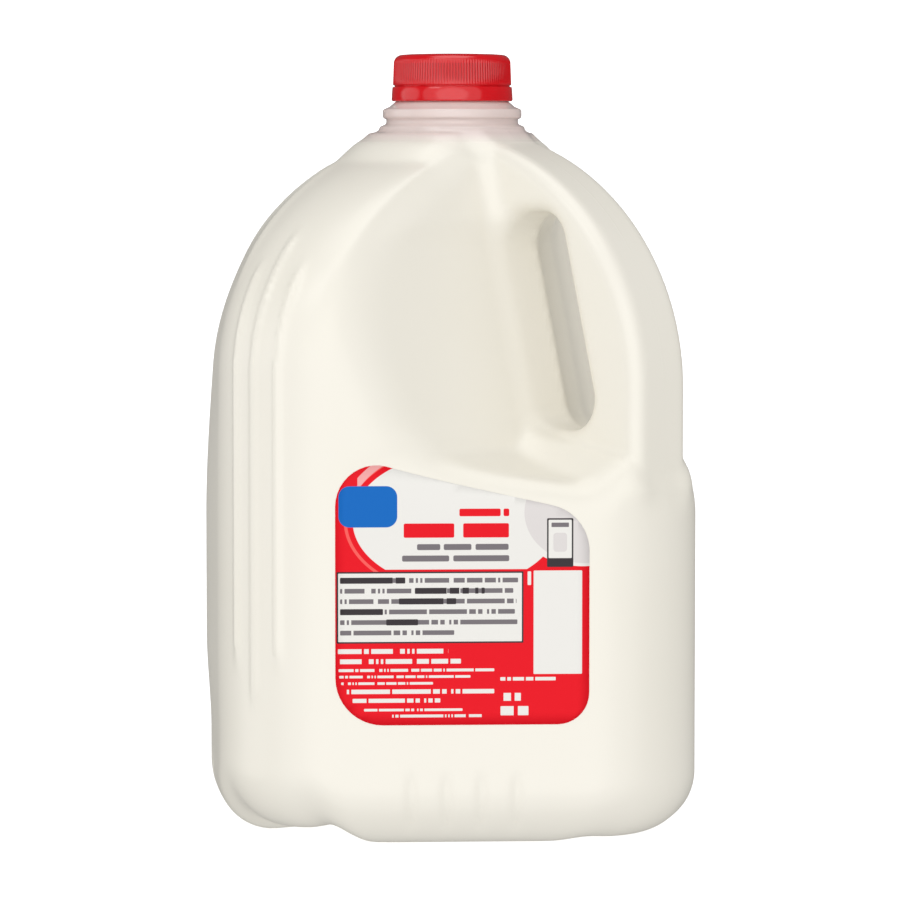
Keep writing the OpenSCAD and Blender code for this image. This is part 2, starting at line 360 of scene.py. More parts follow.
def body_gap(x, y, z):
    """The jug up to the foot of its neck: walls, collar, pockets, handle, hole and base."""
    body = round_join(side_gap(x, y, z), collar_gap(x, y, z), collar_fillet)
    body = round_cut(body, pocket_gap(x, y, z), pocket_lip_r)
    full = round_join(body, handle_gap(x, y, z), handle_fillet)
    full = round_cut(full, -hole_gap(x, y, z), grip_edge_r)
    full = full - rib_relief(x, y, z) - ridge_relief(x, y, z) + groove_relief(x, y, z)
    return round_cut(full, base_gap(x, y, z), heel_r)


def jug_gap(x, y, z):
    """The same, carrying a stub of the neck."""
    stub = np.maximum(np.hypot(x, y) - foot_ring_r, np.abs(z - body_h) - neck_stub_h)
    return round_join(body_gap(x, y, z), stub, stub_fillet)


print("the axis runs", round(-float(jug_gap(0.0, 0.0, 100.0)), 1), "mm inside the jug at 100 mm height")

# %% [markdown]
# ## From a field to a mesh
#
# The field is sampled on a fine grid and skinned with quads. The skin's points are then
# slid along the field's slope until they lie on the surface, and evened out sideways.
# That is what keeps long highlights calm on smooth plastic.

# %% Skin a field
def slope_of(gap, points, reach=0.2):
    """The field's gradient at each point."""
    slope = np.empty_like(points)
    for axis in range(3):
        step = np.zeros(3)
        step[axis] = reach
        ahead, behind = (points + step).T, (points - step).T
        slope[:, axis] = (gap(*ahead) - gap(*behind)) / (2 * reach)
    return slope


def settle(gap, points, rounds=3):
    """Slides the points onto the surface, at most 1 mm a round."""
    for _ in range(rounds):
        slope = slope_of(gap, points)
        move = gap(*points.T) / np.maximum((slope ** 2).sum(1), 0.05)
        points = points - np.clip(move, -1, 1)[:, None] * slope
    return points


def even_out(gap, points, quads, rounds=3):
    """Moves each point sideways toward the middle of its neighbours."""
    a = np.concatenate([quads[:, i] for i in range(4)])
    b = np.concatenate([quads[:, (i + 1) % 4] for i in range(4)])
    count = np.bincount(a, minlength=len(points)) + np.bincount(b, minlength=len(points))
    for _ in range(rounds):
        middle = np.stack([
            np.bincount(a, points[b, k], len(points)) + np.bincount(b, points[a, k], len(points))
            for k in range(3)], 1) / count[:, None]
        slope = slope_of(gap, points)
        normal = slope / np.maximum(np.linalg.norm(slope, axis=1), 1e-6)[:, None]
        move = middle - points
        move -= (move * normal).sum(1)[:, None] * normal
        points = settle(gap, points + 0.5 * move, 1)
    return settle(gap, points, 2)


def skin(gap, low, high, step):
    """Points and quads of the surface where the field is zero."""
    axes = [np.arange(low[k], high[k] + step, step) for k in range(3)]
    field = gap(*np.meshgrid(*axes, indexing="ij")).astype(np.float32)
    grid = vdb.FloatGrid(float(field.max()))
    grid.copyFromArray(field)
    points, quads = grid.convertToQuads(isovalue=0.0)
    points = points.astype(np.float64) * step + np.array([axis[0] for axis in axes])
    quads = quads.astype(np.int64)
    return even_out(gap, settle(gap, points), quads), quads


print("a skin is evened out in", even_out.__defaults__[0], "rounds")

# %% Mesh helpers
def new_piece(name, points, faces):
    """A smooth-shaded object from points in millimetres."""
    mesh = bpy.data.meshes.new(name)
    mesh.from_pydata([tuple(p) for p in np.asarray(points) * MM], [], [tuple(f) for f in faces])
    mesh.polygons.foreach_set("use_smooth", [True] * len(mesh.polygons))
    mesh.update()
    piece = bpy.data.objects.new(name, mesh)
    bpy.context.scene.collection.objects.link(piece)
    return piece


def arc(centre, r, start, end, steps):
    """Points of a round stretch of a profile, as (radius, height)."""
    turns = np.radians(np.linspace(start, end, steps))
    return [(centre[0] + r * math.cos(t), centre[1] + r * math.sin(t)) for t in turns]


# %% [markdown]
# ## The jug
#
# The body's skin is cut level just above the collar, and the neck is grown from the cut
# edge as a lathe profile, ring by ring, so the two are one piece. The neck carries a foot
# ring, a bumper ring and, hidden in the cap, the plain finish that the cap snaps over.

# %% The neck's profile
skin_step = 1.6
cut_z = body_h + 0.5
finish_r = 17.2
mouth_z = cap_high[2] - 1.4
bumper_r, bumper_round = neck_r + 1.15, 0.9
neck_profile = (
    arc((foot_ring_r - 0.5, cut_z + 0.2), 0.5, 0, 60, 4)
    + arc((neck_r + 1.0, cut_z + 2.1), 1.0, 240, 180, 5)
    + [(neck_r, body_h + 3.4)]
    + arc((bumper_r - bumper_round, body_h + 4.55), bumper_round, -80, -8, 5)
    + [(bumper_r, body_h + 5.3)]
    + arc((bumper_r - bumper_round, body_h + 6.05), bumper_round, 8, 80, 5)
    + [(neck_r - 1.1, body_h + 7.6), (neck_r - 2.4, body_h + 8.7), (finish_r + 1.0, body_h + 9.6)]
    + [(finish_r, body_h + 10.2), (finish_r, mouth_z)]
)
print("neck profile has", len(neck_profile), "points")

# %% Build the jug
margin = np.array([4.0, 4.0, 4.0])
body_top = np.array([jug_high[0], jug_high[1], body_h + 4])
body_points, body_quads = skin(jug_gap, jug_low - margin, body_top, skin_step)
jug = new_piece("jug_wall", body_points, body_quads)


def grow_neck(piece):
    """Cuts the skin level and grows the neck's rings from the cut edge."""
    work = bmesh.new()
    work.from_mesh(piece.data)
    geometry = work.verts[:] + work.edges[:] + work.faces[:]
    bmesh.ops.bisect_plane(
        work, geom=geometry, plane_co=(0, 0, cut_z * MM), plane_no=(0, 0, 1),
        clear_outer=True, dist=0.05 * MM)
    edge = [e for e in work.edges if e.is_boundary]
    for radius, height in neck_profile:
        grown = bmesh.ops.extrude_edge_only(work, edges=edge)["geom"]
        edge = [g for g in grown if isinstance(g, bmesh.types.BMEdge)]
        ring = [g for g in grown if isinstance(g, bmesh.types.BMVert)]
        for v in ring:
            turn = math.atan2(v.co.y, v.co.x)
            v.co = (radius * MM * math.cos(turn), radius * MM * math.sin(turn), height * MM)
        edge = [e for e in edge if all(v in ring for v in e.verts)]
    bmesh.ops.recalc_face_normals(work, faces=work.faces[:])
    for face in work.faces:
        face.smooth = True
    work.to_mesh(piece.data)
    work.free()


grow_neck(jug)
thick = jug.modifiers.new("wall", "SOLIDIFY")
thick.thickness = wall * MM
thick.offset = -1
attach(jug, "root")
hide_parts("jug")
print("jug skin has", len(jug.data.polygons), "faces")

# %% [markdown]
# ## The milk
#
# The milk fills the same shape, the handle too, up to its level. It could be cut out of the
# jug with a boolean, but two skins in the same place flicker. So it is skinned from the same
# field, and reaches a little way into the wall, so that no air shows between them.

# %% Build the milk
sink = 0.35 * wall
milk_neck_fillet, milk_rim_r = 1.2, 0.5


def milk_gap(x, y, z):
    neck = np.maximum(np.hypot(x, y) - foot_ring_r, body_h - neck_stub_h - z)
    cavity = round_join(body_gap(x, y, z), neck, milk_neck_fillet) + sink
    return round_cut(cavity, z - fill_z, milk_rim_r)


milk_step = 2.6
milk_points, milk_quads = skin(milk_gap, milk_low - margin, milk_high + margin, milk_step)
milk = new_piece("milk_fill", milk_points, milk_quads)
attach(milk, "root")
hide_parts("milk")
print("milk skin has", len(milk.data.polygons), "faces")

# %% [markdown]
# ## The cap
#
# A snap cap is one moulding: a knurled skirt, and a smooth tamper band below a thin tear
# line. It is a lathe profile, and the knurls are ridges round the part that has them.

# %% The cap's profile
cap_z, cap_top = cap_low[2], cap_high[2]
band_r = (cap_high[0] - cap_low[0]) / 2
skirt_r = band_r - 0.45
band_h, score_h = 5.0, 0.35
cap_edge_r, cap_dip = 2.8, 0.3
knurl_count, knurl_steps, knurl_depth, knurl_flank = 126, 4, 0.45, 0.55
inside_r = finish_r + 0.4
knurl_low, knurl_high = cap_z + band_h + 0.7, cap_top - cap_dip - cap_edge_r - 0.1
knurl_span, skirt_draft = knurl_high - knurl_low, 0.25
cap_profile = (
    [(inside_r, mouth_z), (inside_r, cap_z + 0.4)]
    + arc((inside_r + 0.4, cap_z + 0.4), 0.4, 180, 270, 3)
    + arc((band_r - 0.5, cap_z + 0.5), 0.5, 270, 360, 4)
    + [(band_r - 0.1, cap_z + 2.5), (band_r - 0.25, cap_z + band_h - score_h - 0.2)]
    + [(band_r - 0.4, cap_z + band_h - score_h), (skirt_r - 0.55, cap_z + band_h - 0.2)]
    + [(skirt_r - 0.55, cap_z + band_h + 0.1), (skirt_r - 0.05, cap_z + band_h + 0.3)]
    + [(skirt_r, knurl_low)]
    + [(skirt_r - skirt_draft * k / 4, knurl_low + knurl_span * k / 4) for k in range(1, 5)]
    + arc((skirt_r - skirt_draft - cap_edge_r, cap_top - cap_dip - cap_edge_r), cap_edge_r, 8, 86, 8)
    + [(skirt_r - 5, cap_top - 0.15), (skirt_r - 9, cap_top - 0.03)]
)
print("cap profile has", len(cap_profile), "points")


# %% Build the cap
def build_cap():
    around = knurl_count * knurl_steps
    turns = np.arange(around) * 2 * math.pi / around
    step = np.arange(around) % knurl_steps
    ridge = np.where(step == 0, 1.0, knurl_flank * (step % 2))
    rows = []
    for radius, height in cap_profile:
        knurled = ease(knurl_low - 0.1, knurl_low + 0.5, height)
        knurled *= 1 - ease(knurl_high, knurl_high + 1.6, height)
        outer = radius > inside_r + 1 and height > cap_z + band_h
        r = radius - (knurl_depth * (1 - ridge) * knurled if outer else 0)
        rows.append(np.stack([r * np.cos(turns), r * np.sin(turns), np.full(around, height)], 1))
    points = np.concatenate(rows + [[[0, 0, mouth_z]], [[0, 0, cap_top]]])
    faces = []
    for row in range(len(rows) - 1):
        for i in range(around):
            a, b = row * around + i, row * around + (i + 1) % around
            faces.append((a, b, b + around, a + around))
    first, last = len(points) - 2, len(points) - 1
    top = (len(rows) - 1) * around
    for i in range(around):
        faces.append((first, (i + 1) % around, i))
        faces.append((last, top + i, top + (i + 1) % around))
    return new_piece("cap_shell", points, faces)


cap = build_cap()
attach(cap, "root")
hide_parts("cap")
print("cap has", len(cap.data.polygons), "faces")

# %% [markdown]
# ## The label
#
# One sheet of coated paper on the side wall that faces the viewer. Its outline is a rounded
# rectangle whose top slopes down under the finger pocket. A shrinkwrap modifier could lay it
# on the wall. Here the flat sheet is cut by a grid, and each of its points then slides to the
# wall's own field, so it follows every swell exactly. Its flat coordinates stay in a UV map,
# 100 mm to a unit, where the print is drawn.

# %% The label's outline
label_w, label_h = 80.0, label_high[2] - label_low[2]
label_mid = -0.6
label_z = label_low[2]
corner_rounds = {"low_left": 15.0, "low_right": 10.0, "high_left": 13.0, "high_right": 15.0}
slope_drop = 0.15 * label_h
label_lift, paper_thick = 0.12, 0.1
cut_step, uv_span = 4, 100


def label_outline():
    """Points round the label, counter-clockwise from its lower left corner."""
    w, h = label_w, label_h
    ll, lr, hl, hr = corner_rounds.values()
    tilt = math.degrees(math.atan2(slope_drop, w - hl - hr))
    return (
        arc((ll, ll), ll, 180, 270, 12) + arc((w - lr, lr), lr, 270, 360, 10)
        + arc((w - hr, h - slope_drop - hr), hr, 0, 90 - tilt, 12)
        + arc((hl, h - hl), hl, 90 - tilt, 180, 12)
    )


print("label outline has", len(label_outline()), "points")


# %% Build the label
def build_label():
    work = bmesh.new()
    ring = [work.verts.new((x * MM, y * MM, 0)) for x, y in label_outline()]
    work.faces.new(ring)
    for axis, size in ((0, label_w), (1, label_h)):
        for k in range(1, int(size / cut_step)):
            normal = [0, 0, 0]
            normal[axis] = 1
            place = [0, 0, 0]
            place[axis] = cut_step * k * MM
            geometry = work.verts[:] + work.edges[:] + work.faces[:]
            bmesh.ops.bisect_plane(work, geom=geometry, plane_co=place, plane_no=normal)
    flat = np.array([v.co[:] for v in work.verts]) / MM
    uv = work.loops.layers.uv.new("print")
    for face in work.faces:
        for loop in face.loops:
            loop[uv].uv = (loop.vert.co.x / (uv_span * MM), loop.vert.co.y / (uv_span * MM))
        face.smooth = True
    along = flat[:, 0] - label_w / 2 + label_mid
    out = np.full(len(flat), flat_half)
    points = np.stack([(along + out) / math.sqrt(2), (along - out) / math.sqrt(2), flat[:, 1] + label_z], 1)
    points = settle(lambda x, y, z: jug_gap(x, y, z) - label_lift, points)
    for v, p in zip(work.verts, points):
        v.co = p * MM
    mesh = bpy.data.meshes.new("label_sheet")
    work.to_mesh(mesh)
    work.free()
    piece = bpy.data.objects.new("label_sheet", mesh)
    bpy.context.scene.collection.objects.link(piece)
    paper = piece.modifiers.new("paper", "SOLIDIFY")
    paper.thickness = paper_thick * MM
    paper.offset = -1
    return piece


label = build_label()
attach(label, "root")
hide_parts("label")
print("label has", len(label.data.polygons), "faces")

# %% [markdown]
# ## Materials
#
# Every finish is made of nodes, so that it has no fixed sharpness. Nodes could be placed by
# hand in the editor. A small helper that sets up a shader, sets its plain numbers and adds
# each node by one call keeps the recipes short enough to read.

# %% Material helper
class Finish:
    """A material with its main shader and short ways to add nodes."""

    def __init__(self, name, **values):
        self.material = bpy.data.materials.new(name)
        self.material.use_nodes = True
        self.tree = self.material.node_tree
        self.shader = self.tree.nodes["Principled BSDF"]
        for key, value in values.items():
            self.shader.inputs[key.replace("_", " ")].default_value = value

    def add(self, kind, inputs=None, **settings):
        node = self.tree.nodes.new(kind)
        for key, value in settings.items():
            setattr(node, key, value)
        for key, value in (inputs or {}).items():
            if isinstance(value, bpy.types.NodeSocket):
                self.tree.links.new(value, node.inputs[key])
            else:
                node.inputs[key].default_value = value
        return node

    def math(self, operation, a, b=0.0, c=0.0, clamp=False):
        node = self.add("ShaderNodeMath", {0: a, 1: b, 2: c}, operation=operation)
        node.use_clamp = clamp
        return node.outputs[0]

    def mix(self, amount, a, b):
        node = self.add("ShaderNodeMix", data_type="RGBA")
        for socket, value in ((node.inputs[0], amount), (node.inputs[6], a), (node.inputs[7], b)):
            if isinstance(value, bpy.types.NodeSocket):
                self.tree.links.new(value, socket)
            else:
                socket.default_value = value
        return node.outputs[2]

    def vector(self, operation, a, b=(0, 0, 0)):
        node = self.add("ShaderNodeVectorMath", {0: a, 1: b}, operation=operation)
        return node.outputs["Value" if operation == "LENGTH" else 0]

    def link(self, socket, name):
        self.tree.links.new(socket, self.shader.inputs[name])

    def wear(self, piece):
        piece.data.materials.clear()
        piece.data.materials.append(self.material)


def linear(r, g, b, alpha=1.0):
    """A colour as the eye names it, 0 to 255, turned into light values."""
    light = [(v / 255 / 12.92 if v < 10 else ((v / 255 + 0.055) / 1.055) ** 2.4) for v in (r, g, b)]
    return (*light, alpha)


print("a mid grey of 128 is", round(linear(128, 128, 128)[0], 3), "in light values")

# %% [markdown]
# Natural polyethylene is a satin, milky plastic. Where milk lies against it, it takes the
# milk's colour. Above the milk it lets light through, and some of the cap's red with it.
# Light that really wanders inside the wall could be traced with subsurface scattering, but
# that is slow and grainy in a wall this thin. So one shader changes with height instead: above
# the milk it is smoother, partly see-through and pinker, with the cap's red light painted into
# its colour. Its bump has the mould's slow waves, a fine grain and the parting seam.

# %% The jug's plastic
plastic = Finish("blown_plastic", IOR=1.5)
plastic.shader.inputs["Specular IOR Level"].default_value = 0.45
place = plastic.add("ShaderNodeTexCoord").outputs["Object"]
split = plastic.add("ShaderNodeSeparateXYZ", {0: place}).outputs
empty_from, empty_over = fill_z + 0.5, 3.5
above = plastic.math("MULTIPLY_ADD", split[2], 1 / (empty_over * MM), -empty_from / empty_over, clamp=True)
cloud = plastic.add("ShaderNodeTexNoise", {"Vector": place, "Scale": 14.0, "Detail": 2.0}).outputs[0]
backed = plastic.mix(cloud, linear(238, 234, 221), linear(241, 237, 227))
# Above the milk: a near-white plastic colour with the cap's red light painted in as a pink tint.
bare_with_painted_cap_red = linear(252, 236, 231)
plastic.link(plastic.mix(above, backed, bare_with_painted_cap_red), "Base Color")
plastic.link(plastic.math("MULTIPLY", above, 0.3), "Transmission Weight")
plastic.link(plastic.math("MULTIPLY_ADD", above, -0.17, 0.31), "Roughness")
waves = plastic.add("ShaderNodeTexNoise", {"Vector": place, "Scale": 40.0, "Detail": 1.0}).outputs[0]
grain = plastic.add("ShaderNodeTexNoise", {"Vector": place, "Scale": 1400.0, "Detail": 2.0}).outputs[0]
off_seam = plastic.math("ABSOLUTE", split[1])
seam = plastic.math("SUBTRACT", 1.0, plastic.math("MULTIPLY", off_seam, 1 / (0.4 * MM)), clamp=True)
height = plastic.math("MULTIPLY_ADD", waves, 0.3, plastic.math("MULTIPLY", grain, 0.016))
height = plastic.math("MULTIPLY_ADD", seam, 0.12, height)
bump = plastic.add("ShaderNodeBump", {"Strength": 0.4, "Distance": 0.6 * MM, "Height": height})
plastic.link(bump.outputs[0], "Normal")
plastic.wear(jug)
print("plastic has", len(plastic.tree.nodes), "nodes")

# %% [markdown]
# Milk is opaque and hardly creamy. Only a little of it is seen, through the bare plastic at
# the neck's foot, so a pale shader with faint specks does it.

# %% The milk's finish
cream = Finish("whole_milk", Roughness=0.25, IOR=1.35)
speck = cream.add("ShaderNodeTexNoise", {"Scale": 60.0}).outputs[0]
cream.link(cream.mix(speck, linear(248, 243, 230), linear(244, 239, 226)), "Base Color")
cream.wear(milk)
print("milk has", len(cream.tree.nodes), "nodes")

# %% [markdown]
# The cap is glossy red plastic. Its knurls are real ridges, but light that comes from all
# round hardly darkens grooves this fine. So the shader also darkens them: it measures how far
# a point lies inside the skirt's outer face, and mixes in a deeper red.

# %% The cap's plastic
red = Finish("cap_plastic", Roughness=0.13, IOR=1.5)
cap_place = red.add("ShaderNodeTexCoord").outputs["Object"]
mottle = red.add("ShaderNodeTexNoise", {"Vector": cap_place, "Scale": 300.0, "Detail": 3.0}).outputs[0]
cap_at = red.add("ShaderNodeSeparateXYZ", {0: cap_place}).outputs
up_skirt = red.math("MULTIPLY_ADD", cap_at[2], 1 / (knurl_span * MM), -knurl_low / knurl_span)
past_low, under_high = red.math("GREATER_THAN", up_skirt, 0.0), red.math("LESS_THAN", up_skirt, 1.0)
on_skirt = red.math("MULTIPLY", past_low, under_high)
from_axis = red.vector("LENGTH", red.vector("MULTIPLY", cap_place, (1, 1, 0)))
shade_r, groove_darkness = skirt_r - 0.1, 0.75
sunk = red.math("MULTIPLY_ADD", from_axis, -1 / (knurl_depth * MM), shade_r / knurl_depth)
sunk = red.math("MULTIPLY_ADD", up_skirt, -skirt_draft / knurl_depth, sunk, clamp=True)
groove_shade = red.math("MULTIPLY", red.math("MULTIPLY", sunk, on_skirt), groove_darkness)
plain_red = red.mix(mottle, linear(218, 20, 30), linear(208, 14, 24))
red.link(red.mix(groove_shade, plain_red, linear(140, 4, 12)), "Base Color")
cap_bump = red.add("ShaderNodeBump", {"Strength": 0.12, "Distance": 0.1 * MM, "Height": mottle})
red.link(cap_bump.outputs[0], "Normal")
red.wear(cap)
print("cap has", len(red.tree.nodes), "nodes")

# %% [markdown]
# ## The label's print
#
# The print is drawn in the shader, from shapes: rounded boxes, ellipses and rows of short
# dashes that stand where small print would be. Each shape is a mask between 0 and 1, and the
# colours are laid over each other with the masks, like inks. Two node groups hold the
# arithmetic, so that a box costs one node and a dashed row three. A picture would be quicker
# but has a fixed sharpness, and this print needs no words.

# %% A group that masks a rounded box
edge_soft = 0.12


def start_group(name, sockets):
    """An empty node group with its inputs, its output node and its input node."""
    group = bpy.data.node_groups.new(name, "ShaderNodeTree")
    for label_text, kind in sockets:
        group.interface.new_socket(label_text, in_out="INPUT", socket_type=kind)
    group.interface.new_socket("Mask", in_out="OUTPUT", socket_type="NodeSocketFloat")
    return group, group.nodes.new("NodeGroupInput"), group.nodes.new("NodeGroupOutput")


def chain(group, kind, operation, a, b=None, c=None):
    """One maths node inside a group."""
    node = group.nodes.new(kind)
    node.operation = operation
    for socket, value in zip(node.inputs, (a, b, c)):
        if isinstance(value, bpy.types.NodeSocket):
            group.links.new(value, socket)
        elif value is not None:
            socket.default_value = value
    return node


VECTOR, FLOAT = "NodeSocketVector", "NodeSocketFloat"
box_group, given, result = start_group(
    "rounded_box", [("Place", VECTOR), ("Middle", VECTOR), ("Inner Half", VECTOR), ("Round", FLOAT)])
away = chain(box_group, "ShaderNodeVectorMath", "SUBTRACT", given.outputs[0], given.outputs[1])
away = chain(box_group, "ShaderNodeVectorMath", "ABSOLUTE", away.outputs[0])
away = chain(box_group, "ShaderNodeVectorMath", "SUBTRACT", away.outputs[0], given.outputs[2])
away = chain(box_group, "ShaderNodeVectorMath", "MAXIMUM", away.outputs[0], (0, 0, 0))
away = chain(box_group, "ShaderNodeVectorMath", "LENGTH", away.outputs[0])
away = chain(box_group, "ShaderNodeMath", "SUBTRACT", away.outputs["Value"], given.outputs[3])
away = chain(box_group, "ShaderNodeMath", "MULTIPLY_ADD", away.outputs[0], -1 / edge_soft, 0.5)
away.use_clamp = True
box_group.links.new(away.outputs[0], result.inputs[0])
print("box group has", len(box_group.nodes), "nodes")

# %% A group that breaks a line into dashes
dash_group, given, result = start_group("dashes", [("Place", VECTOR), ("Dash", FLOAT), ("Seed", FLOAT)])
apart = dash_group.nodes.new("ShaderNodeSeparateXYZ")
dash_group.links.new(given.outputs[0], apart.inputs[0])
cell = chain(dash_group, "ShaderNodeMath", "DIVIDE", apart.outputs[0], given.outputs[1])
cell = chain(dash_group, "ShaderNodeMath", "ADD", cell.outputs[0], given.outputs[2])
whole = chain(dash_group, "ShaderNodeMath", "FLOOR", cell.outputs[0])
dice = dash_group.nodes.new("ShaderNodeTexWhiteNoise")
dice.noise_dimensions = "1D"
dash_group.links.new(whole.outputs[0], dice.inputs["W"])
gap_share = 0.13
inked = chain(dash_group, "ShaderNodeMath", "GREATER_THAN", dice.outputs["Value"], gap_share)
dash_group.links.new(inked.outputs[0], result.inputs[0])
print("dash group has", len(dash_group.nodes), "nodes")

# %% [markdown]
# Places on the label are in millimetres: across from its middle, and up from its lower edge.

# %% Masks on the label
paper = Finish("printed_paper", Roughness=0.5, IOR=1.45)
paper.shader.inputs["Specular IOR Level"].default_value = 0.2
sheet_uv = paper.add("ShaderNodeUVMap", uv_map="print").outputs[0]
on_sheet = paper.vector("MULTIPLY", sheet_uv, (uv_span, uv_span, 0))
on_sheet = paper.vector("SUBTRACT", on_sheet, (label_w / 2, 0, 0))


def group_mask(group, values):
    node = paper.add("ShaderNodeGroup", node_tree=group)
    paper.tree.links.new(on_sheet, node.inputs[0])
    for socket, value in zip(list(node.inputs)[1:], values):
        socket.default_value = value
    return node.outputs[0]


def box_mask(left, right, low, high, corner=0.2):
    """1 inside a rounded box."""
    middle = ((left + right) / 2, (low + high) / 2, 0)
    inner = (max((right - left) / 2 - corner, 0), max((high - low) / 2 - corner, 0), 1)
    return group_mask(box_group, (middle, inner, corner))


def ellipse_mask(middle_x, middle_y, half_x, half_y):
    """1 inside an ellipse."""
    away = paper.vector("SUBTRACT", on_sheet, (middle_x, middle_y, 0))
    far = paper.vector("LENGTH", paper.vector("MULTIPLY", away, (1 / half_x, 1 / half_y, 0)))
    sharp = min(half_x, half_y) / edge_soft
    return paper.math("MULTIPLY_ADD", far, -sharp, sharp + 0.5, clamp=True)


def both(a, b):
    return paper.math("MULTIPLY", a, b)


def either(a, b):
    return paper.math("MAXIMUM", a, b)


def without(a, b):
    return paper.math("MULTIPLY", a, paper.math("SUBTRACT", 1.0, b))


def dashed_row(box, corner, dash, seed):
    """A box broken into dashes, as a row of small print looks from afar."""
    return both(box_mask(*box, corner), group_mask(dash_group, (dash, seed)))


print("masks ready, the sheet is", label_w, "by", round(label_h, 1), "mm")

# %% Inks
fibre = paper.add("ShaderNodeTexNoise", {"Vector": on_sheet, "Scale": 3.0, "Detail": 3.0}).outputs[0]
INK_RED = paper.mix(fibre, linear(236, 12, 34), linear(228, 8, 26))
INK_WHITE = linear(236, 234, 229)
INK_PINK = linear(243, 170, 168)
INK_PALE_RED = linear(246, 96, 92)
INK_BLUE = linear(10, 104, 190)
INK_PALE_GREY = linear(222, 217, 215)
INK_DARK = linear(52, 46, 50)
INK_GREY = linear(120, 114, 118)
sheet_colour = INK_RED


def lay(mask, ink):
    """Lays an ink over what is printed so far."""
    global sheet_colour
    sheet_colour = paper.mix(mask, sheet_colour, ink)


print("the sheet is red all over, other inks go over it")

# %% [markdown]
# ## What is printed where
#
# A white zone with a round left end is the title's place, and two pale stripes follow that
# end. Beside it lie a plain grey field and a small framed box, under it a white box with
# rows of small print, and at the right an empty white field.

# %% The title zone
title_low = 49.2
title_middle, title_half_w, title_half_h = (-2, 64.5), 32.5, 21.0


def title_oval(wider=0.0, higher=0.0):
    """The oval of the title zone's left end, or one a little larger."""
    return ellipse_mask(*title_middle, title_half_w + wider, title_half_h + higher)


upper_half = box_mask(-45, 45, title_low, 90, 0.1)
thin_ring = without(title_oval(2.8, 2.6), title_oval(1.8, 1.7))
lay(both(thin_ring, box_mask(-45, -12, 46, 90, 0.1)), INK_PALE_RED)
wide_ring = without(title_oval(4.0, 4.6), title_oval(1.5, 2.4))
lay(both(wide_ring, box_mask(-33, -8, 72, 90, 0.1)), INK_PINK)
title_right = box_mask(-4, 24, title_low, 95, 8)
lay(both(upper_half, either(title_oval(), title_right)), INK_WHITE)
lay(both(upper_half, box_mask(0, 45, 62, 90, 0.1)), INK_WHITE)
print("title zone starts", title_low, "mm above the label's lower edge")

# %% The plain grey field and the framed box
lay(ellipse_mask(38, 69, 23, 19), INK_WHITE)
lay(ellipse_mask(38.5, 67, 19, 16), INK_PALE_GREY)
lay(box_mask(26.6, 34.9, 49.8, 65.2, 0.4), INK_DARK)
lay(box_mask(27.1, 34.4, 52.6, 64.7, 0.3), INK_WHITE)
lay(dashed_row((28, 33.5, 62.4, 63.8), 0.2, 0.9, 11.0), INK_GREY)
lay(box_mask(28.6, 32.9, 54.6, 60.6, 1.0), INK_PALE_GREY)
print("framed box laid")

# %% [markdown]
# A row of the title is its lower and upper edge, its ink, and the left and right end of each
# bar in it.

# %% The badge and the title's bars
lay(box_mask(-39, -20.5, 62.5, 75.5, 3.5), INK_BLUE)
bar_inset = 0.3
title_words = [
    (65.6, 68.6, INK_RED, (-1, 12.0), (12.9, 14.7)),
    (58.9, 64.0, INK_RED, (-18.5, -2.6), (0.2, 14.6)),
    (55.0, 57.5, INK_GREY, (-14.3, -7.0), (-5.9, 2.8), (4.1, 14.5)),
    (51.4, 53.9, INK_GREY, (-19, -4.2), (-2.9, 14.7)),
]
for low, high, ink, *words in title_words:
    for left, right in words:
        lay(box_mask(left, right, low + bar_inset, high - bar_inset, 0.5), ink)
print("title has", sum(len(row) - 3 for row in title_words), "bars")

# %% The white box of small print
lay(box_mask(-39.6, 19.2, 25.9, 48.5, 0.3), INK_DARK)
lay(box_mask(-39.1, 18.7, 26.4, 48.0, 0.2), INK_WHITE)
row_left = -38.5
row_right = [17.5, 16.0, 17.0, 16.5, 17.3, -2.6]
row_bold = [(row_left, -18), (-15, 7), (-20, -2), (row_left, -25), (-24, -14), None]
row_step, row_top, row_h, bold_more = 3.3, 46.5, 1.5, 0.2
for row, (right, bold) in enumerate(zip(row_right, row_bold)):
    top = row_top - row * row_step
    bottom = top - row_h
    lay(dashed_row((row_left, right, bottom, top), 0.3, 0.7, 3.0 + 17 * row), INK_GREY)
    if bold:
        lay(dashed_row((*bold, bottom - bold_more, top + bold_more), 0.3, 1.0, 60.0 + row), INK_DARK)
print("small print has", len(row_right), "rows")

# %% [markdown]
# A pale row is its left and right end and its lower and upper edge. The last one is narrow and
# stands upright beside the empty field.

# %% The empty white field and the pale rows
lay(box_mask(22.4, 37.7, 16, 48.7, 0.3), INK_WHITE)
pale_rows = [
    (-39.2, -4.5, 22.5, 24.3), (-39.2, -0.5, 19.3, 21.1), (-39, 10, 16.8, 18.0), (-38.8, 2.5, 14.8, 15.9),
    (-38.2, -9.3, 12.7, 13.8), (-36.8, 10, 9.8, 11.5), (-34.6, -7, 7.0, 8.6), (-31, 0, 4.3, 5.4),
    (-22.4, 6.6, 2.3, 3.5), (11.9, 29.4, 13.8, 15.2), (12.1, 18.4, 7.4, 10.2), (12.0, 20.8, 2.8, 6.0),
    (20.5, 21.6, 44, 48.6),
]
dash_share, pale_inset = 0.42, 0.15
for seed, (left, right, low, high) in enumerate(pale_rows):
    box = (left, right, low + pale_inset, high - pale_inset)
    lay(dashed_row(box, 0.25, dash_share * (high - low), 5.0 + 13 * seed), INK_WHITE)
print("and", len(pale_rows), "pale rows lie on the red")

# %% The paper itself
paper.link(sheet_colour, "Base Color")
paper_bump = paper.add("ShaderNodeBump", {"Strength": 0.06, "Distance": 0.1 * MM, "Height": fibre})
paper.link(paper_bump.outputs[0], "Normal")
paper.wear(label)
print("print has", len(paper.tree.nodes), "nodes")

